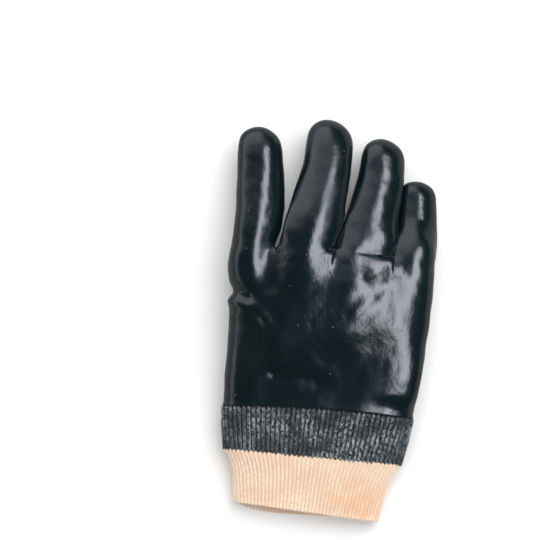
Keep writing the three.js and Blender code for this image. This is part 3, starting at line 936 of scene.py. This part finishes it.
film, given, put = effect("dust and smudges", {"Smudge Size": 30, "Speck Size": 1.6}, ["Smudge", "Speck"])
haze = cloud(film, given["Smudge Size"], 5, (1.6, 0.7, 1))
film.links.new(soft_step(film, haze, 0.48, 0.72), put["Smudge"])
dots = film.nodes.new("ShaderNodeTexVoronoi")
film.links.new(film.nodes.new("ShaderNodeTexCoord").outputs["Object"], dots.inputs["Vector"])
film.links.new(math_node(film, "DIVIDE", 1 / mm, given["Speck Size"]), dots.inputs["Scale"])
chosen = film.nodes.new("ShaderNodeSeparateColor")
film.links.new(dots.outputs["Color"], chosen.inputs[0])
near_dot = math_node(film, "SUBTRACT", 1, soft_step(film, dots.outputs["Distance"], 0.12, 0.26))
rare_dot = soft_step(film, chosen.outputs[0], 0.988, 0.99)
film.links.new(math_node(film, "MULTIPLY", near_dot, rare_dot), put["Speck"])

mottle, given, put = effect("fine mottle", {"Mottle Size": 1.0, "Patch Size": 18}, ["Mottle", "Patch"])
streaks = cloud(mottle, given["Mottle Size"], 2, (1, 0.45, 1))
mottle.links.new(soft_step(mottle, streaks, 0.4, 0.62), put["Mottle"])
mottle.links.new(soft_step(mottle, cloud(mottle, given["Patch Size"], 2), 0.35, 0.65), put["Patch"])
print("effects:", [tree.name for tree in (skin, film, mottle)])


# %% [markdown]
# A finish is then short to write: it takes masks from the shared effects, blends two colours by them, and
# feeds one Principled surface with a colour, a roughness and a bump. These helpers keep that shape the same
# for all four finishes, and they hold no values of their own.


# %% Helpers for the finishes
def use_effect(material, tree, **values):
    node = material.node_tree.nodes.new("ShaderNodeGroup")
    node.node_tree = tree
    for name, value in values.items():
        node.inputs[name.replace("_", " ")].default_value = value
    return node.outputs


def blend(material, share, first, second):
    """A colour that runs from first to second. Each is a colour or a socket, and share is a mask."""
    node = material.node_tree.nodes.new("ShaderNodeMix")
    node.data_type = "RGBA"
    material.node_tree.links.new(share, node.inputs["Factor"])
    for socket, value in ((node.inputs[6], first), (node.inputs[7], second)):
        if isinstance(value, tuple):
            socket.default_value = (*value, 1)
        else:
            material.node_tree.links.new(value, socket)
    return node.outputs[2]


def dress(material, colour, roughness, height, depth, **constants):
    """Feeds the surface. height is a mask, depth its full height in millimetres."""
    tree = material.node_tree
    surface = tree.nodes["Principled BSDF"]
    tree.links.new(colour, surface.inputs["Base Color"])
    tree.links.new(roughness, surface.inputs["Roughness"])
    bump = tree.nodes.new("ShaderNodeBump")
    bump.inputs["Distance"].default_value = depth * mm
    tree.links.new(height, bump.inputs["Height"])
    tree.links.new(bump.outputs["Normal"], surface.inputs["Normal"])
    for name, value in constants.items():
        surface.inputs[name.replace("_", " ")].default_value = value


def rib_valleys(material):
    """How deep each point lies between two ribs, from the number that the tube carries."""
    node = material.node_tree.nodes.new("ShaderNodeAttribute")
    node.attribute_name = "valley"
    return node.outputs["Fac"]


def linear_mix(tree, share, first, second):
    """A number that runs from first to second."""
    return math_node(tree, "ADD", first, math_node(tree, "MULTIPLY", share, second - first))


# %% [markdown]
# PVC dip is a thick wet-looking skin. Its colour is nearly nothing, with a blue-green tint, and what shows
# is the mirror of the room, a little broken by the jersey under it and by handling. So the colour stays
# dark, the roughness wanders where hands and dust have been, and a shallow bump gives the long soft ripple
# and the fabric's grain.

# %% Glossy PVC
pvc = new_material("glossy black PVC")
tree = pvc.node_tree
film_out = use_effect(pvc, film, Smudge_Size=34, Speck_Size=2.0)
skin_out = use_effect(pvc, skin, Lump_Size=6, Grain_Size=1.2, Grain_Share=0.45)
colour = blend(pvc, film_out["Smudge"], (0.0018, 0.0074, 0.009), (0.0055, 0.0125, 0.0148))
colour = blend(pvc, film_out["Speck"], colour, (0.16, 0.17, 0.17))
roughness = linear_mix(tree, film_out["Smudge"], 0.19, 0.3)
roughness = math_node(tree, "ADD", roughness, math_node(tree, "MULTIPLY", film_out["Speck"], 0.4))
dress(pvc, colour, roughness, skin_out["Height"], 0.2, IOR=1.5)
print("PVC:", len(tree.nodes), "nodes")

# %% [markdown]
# Where the dip ends it soaks into the rib knit. The crests hold a satin skin and shine. A pale speckle in
# patches is painted on as painted highlight, standing in for the glints the ribs catch, and the valleys are
# painted dark as shade. The tube carries a "valley" number for each point, which darkens the finish between
# two ribs as painted shade.

# %% Soaked rib
tree = dipped.node_tree
valley = rib_valleys(dipped)
fine = use_effect(dipped, mottle, Mottle_Size=1.25, Patch_Size=16)
grain = use_effect(dipped, skin, Lump_Size=1.6, Grain_Size=0.5, Grain_Share=0.6)
# painted highlight: a pale speckle in patches stands in for glints on the soaked ribs
painted_glint_share = linear_mix(tree, fine["Patch"], 0.12, 1.0)
painted_glint_share = math_node(tree, "MULTIPLY", painted_glint_share, fine["Mottle"])
colour = blend(dipped, painted_glint_share, (0.016, 0.024, 0.028), (0.33, 0.37, 0.39))
# painted shade: the finish darkens between two ribs
colour = blend(dipped, valley, colour, (0.008, 0.012, 0.015))
roughness = linear_mix(tree, fine["Mottle"], 0.24, 0.42)
dress(dipped, colour, roughness, grain["Height"], 0.3)
print("soaked rib:", len(tree.nodes), "nodes")

# %% [markdown]
# The cuff is undyed cotton. Each rib's crest is pale cream, and the valleys are painted darker, warmer and
# pinker: painted shade between the ribs, with painted bounce light from the yarns there. Washing and
# handling leave soft stains, one of them by the free edge on the little finger's side. Cotton fibres stand
# off the yarn, so a little sheen softens its edges.

# %% Cotton rib knit
stain_at = (31, -57, 17)
stain_reach = 30


def stain(tree, centre, reach):
    """A soft cloud round one place in the hand's frame."""
    place = tree.nodes.new("ShaderNodeTexCoord").outputs["Object"]
    gap = tree.nodes.new("ShaderNodeVectorMath")
    gap.operation = "DISTANCE"
    tree.links.new(place, gap.inputs[0])
    gap.inputs[1].default_value = to_row(centre)
    near = math_node(tree, "SUBTRACT", 1, soft_step(tree, gap.outputs["Value"], 0, reach * mm))
    return math_node(tree, "MULTIPLY", near, soft_step(tree, cloud(tree, 9, 3), 0.3, 0.7))


tree = rib_knit.node_tree
valley = rib_valleys(rib_knit)
fine = use_effect(rib_knit, mottle, Mottle_Size=1.1, Patch_Size=22)
fuzz = use_effect(rib_knit, skin, Lump_Size=0.7, Grain_Size=0.3, Grain_Share=0.6)
colour = blend(rib_knit, fine["Mottle"], (0.8, 0.645, 0.5), (0.92, 0.775, 0.62))
colour = blend(rib_knit, math_node(tree, "MULTIPLY", fine["Patch"], 0.3), colour, (0.76, 0.5, 0.36))
warm = math_node(tree, "MULTIPLY", stain(tree, stain_at, stain_reach), 0.75)
colour = blend(rib_knit, warm, colour, (0.8, 0.47, 0.25))
# painted shade and bounce light: the valleys between ribs turn darker and warmer
deep = math_node(tree, "MULTIPLY", valley, 0.75)
colour = blend(rib_knit, deep, colour, (0.74, 0.51, 0.36))
roughness = linear_mix(tree, fine["Mottle"], 0.85, 0.95)
dress(rib_knit, colour, roughness, fuzz["Height"], 0.14, Sheen_Weight=0.25, Sheen_Roughness=0.5)
print("cotton rib:", len(tree.nodes), "nodes")

# %% [markdown]
# The hand's liner is plain cotton jersey, seen only through the wrist. It shares the cotton's effects, in a
# cooler and slightly greyer tone, with a fine rib of its own from a wave texture.

# %% Jersey liner
jersey = new_material("cotton jersey liner")
tree = jersey.node_tree
fine = use_effect(jersey, mottle, Mottle_Size=0.9, Patch_Size=14)
columns = tree.nodes.new("ShaderNodeTexWave")
columns.inputs["Scale"].default_value = 260
columns.inputs["Distortion"].default_value = 1.5
tree.links.new(tree.nodes.new("ShaderNodeTexCoord").outputs["Object"], columns.inputs["Vector"])
colour = blend(jersey, fine["Mottle"], (0.66, 0.55, 0.44), (0.76, 0.66, 0.55))
colour = blend(jersey, columns.outputs["Fac"], colour, (0.8, 0.7, 0.58))
roughness = linear_mix(tree, fine["Patch"], 0.85, 0.95)
dress(jersey, colour, roughness, columns.outputs["Fac"], 0.25, Sheen_Weight=0.2, Sheen_Roughness=0.5)
hand.data.materials.append(pvc)
hand.data.materials.append(jersey)
band.data.materials.append(dipped)
cuff.data.materials.append(rib_knit)
print("jersey:", len(tree.nodes), "nodes")

# %% [markdown]
# The photograph looks almost straight down, a little from the wrist's side, with the fingers leaning to the
# right. The camera is placed from those two angles and from the picture's scale.

# %% Camera
view_elevation = math.radians(86)
hand_lean = math.radians(7)
picture_width = 348.5
focal_length = 120
sensor_width = 36
aim = Vector((middle_x - 41.6, rim_y + 84.4, 20)) * mm
distance = picture_width * mm * focal_length / sensor_width
level = math.cos(view_elevation)
back = Vector((math.sin(hand_lean) * level, -math.cos(hand_lean) * level, math.sin(view_elevation)))
near_clip, far_clip = 0.01, 20
camera = bpy.data.objects.new("camera", bpy.data.cameras.new("camera"))
camera.data.lens = focal_length
camera.data.sensor_width = sensor_width
camera.data.clip_start, camera.data.clip_end = near_clip, far_clip
camera.location = aim + back * distance
camera.rotation_euler = (-back).to_track_quat("-Z", "Y").to_euler()
bpy.context.scene.collection.objects.link(camera)
bpy.context.scene.camera = camera
print("camera at", [round(v, 3) for v in camera.location])


# %% [markdown]
# The glove lies on plain white paper, so the floor is a white sheet that the camera sees bright. Its
# reflection in the glove is kept darker, because a full white one would draw a pale rim along every finger,
# and the real picture has none. One broad lamp overhead fills the knit with soft light. It stays out of the
# reflections, which are the world's work below.


# %% Floor and lights
def soft_lamp(name, direction, reach, size, power):
    """A broad lamp that lights the pieces and stays out of their reflections."""
    light = bpy.data.lights.new(name, "AREA")
    light.shape = "RECTANGLE"
    light.size, light.size_y = size
    light.energy = power
    lamp = bpy.data.objects.new(name, light)
    toward = Vector(direction).normalized()
    lamp.location = toward * reach
    lamp.rotation_euler = (-toward).to_track_quat("-Z", "Y").to_euler()
    lamp.visible_glossy = False
    lamp.visible_camera = False
    bpy.context.scene.collection.objects.link(lamp)
    return lamp


floor_size = 6
seen_tone = 0.85
mirrored_tone = 0.3
floor_mesh = bpy.data.meshes.new("floor")
corners = [(-1, -1), (1, -1), (1, 1), (-1, 1)]
floor_mesh.from_pydata([(x * floor_size / 2, y * floor_size / 2, 0) for x, y in corners], [], [(0, 1, 2, 3)])
floor = bpy.data.objects.new("floor", floor_mesh)
bpy.context.scene.collection.objects.link(floor)
paper = new_material("white paper")
paper_tree = paper.node_tree
tone = paper_tree.nodes.new("ShaderNodeMix")
tone.data_type = "RGBA"
tone.inputs[6].default_value = (seen_tone, seen_tone, seen_tone, 1)
tone.inputs[7].default_value = (mirrored_tone, mirrored_tone, mirrored_tone, 1)
paper_rays = paper_tree.nodes.new("ShaderNodeLightPath")
paper_surface = paper_tree.nodes["Principled BSDF"]
paper_tree.links.new(paper_rays.outputs["Is Glossy Ray"], tone.inputs["Factor"])
paper_tree.links.new(tone.outputs[2], paper_surface.inputs["Base Color"])
paper_surface.inputs["Roughness"].default_value = 0.9
floor.data.materials.append(paper)
overhead = soft_lamp("overhead fill", (0.2, 0.5, 1), reach=1.6, size=(1.4, 1.4), power=22)
print("floor and lamp:", floor.name, overhead.name)

# %% [markdown]
# A glossy black glove shows its studio, not its colour. The photograph's reflections fit one long bright
# softbox to the right of and beyond the fingertips, a dimmer wall beyond them to the left, and a dark room
# overhead. The world paints these as soft-edged panels by direction, each a rectangle in a ceiling one unit
# above the glove, and the camera itself sees plain white.

# %% Studio panels in the world
Panel = namedtuple("Panel", "name left right near far soft strength")
panels = [
    Panel("strip softbox", 0.4, 1.0, -0.4, 0.9, 0.12, 11.0),
    Panel("wall beyond", -60, 0.30, 0.80, 60, 0.50, 1.8),
    Panel("low window on the left", -60, -3.0, -4.0, 0.6, 0.6, 1.6),
]
room_glow = 0.07
plain_glow = 0.8
least_upward = 0.02
cool_white = (0.9, 0.92, 1.0, 1)

world = bpy.data.worlds.new("studio")
bpy.context.scene.world = world
world.use_nodes = True
nodes, links = world.node_tree.nodes, world.node_tree.links


def between_sides(tree, value, low, high, soft):
    rising = soft_step(tree, value, low - soft, low + soft)
    falling = soft_step(tree, value, high - soft, high + soft)
    return math_node(tree, "MULTIPLY", rising, math_node(tree, "SUBTRACT", 1, falling))


def panel_light(tree, across, ahead, board):
    mask = math_node(
        tree,
        "MULTIPLY",
        between_sides(tree, across, board.left, board.right, board.soft),
        between_sides(tree, ahead, board.near, board.far, board.soft),
    )
    return math_node(tree, "MULTIPLY", mask, board.strength)


coordinates = nodes.new("ShaderNodeTexCoord")
direction = nodes.new("ShaderNodeSeparateXYZ")
links.new(coordinates.outputs["Generated"], direction.inputs[0])
upward = math_node(world.node_tree, "MAXIMUM", direction.outputs["Z"], least_upward)
across = math_node(world.node_tree, "DIVIDE", direction.outputs["X"], upward)
ahead = math_node(world.node_tree, "DIVIDE", direction.outputs["Y"], upward)
total = room_glow
for board in panels:
    total = math_node(world.node_tree, "ADD", panel_light(world.node_tree, across, ahead, board), total)
rays = nodes.new("ShaderNodeLightPath")
glossy_background = nodes["Background"]
links.new(total, glossy_background.inputs["Strength"])
plain_background = nodes.new("ShaderNodeBackground")
plain_background.inputs["Color"].default_value = (1, 1, 1, 1)
plain_background.inputs["Strength"].default_value = plain_glow
glossy_background.inputs["Color"].default_value = cool_white
choice = nodes.new("ShaderNodeMixShader")
links.new(rays.outputs["Is Glossy Ray"], choice.inputs["Fac"])
links.new(plain_background.outputs[0], choice.inputs[1])
links.new(glossy_background.outputs[0], choice.inputs[2])
links.new(choice.outputs[0], nodes["World Output"].inputs["Surface"])
bpy.context.scene.view_settings.view_transform = "Standard"
print("studio panels:", [board.name for board in panels])
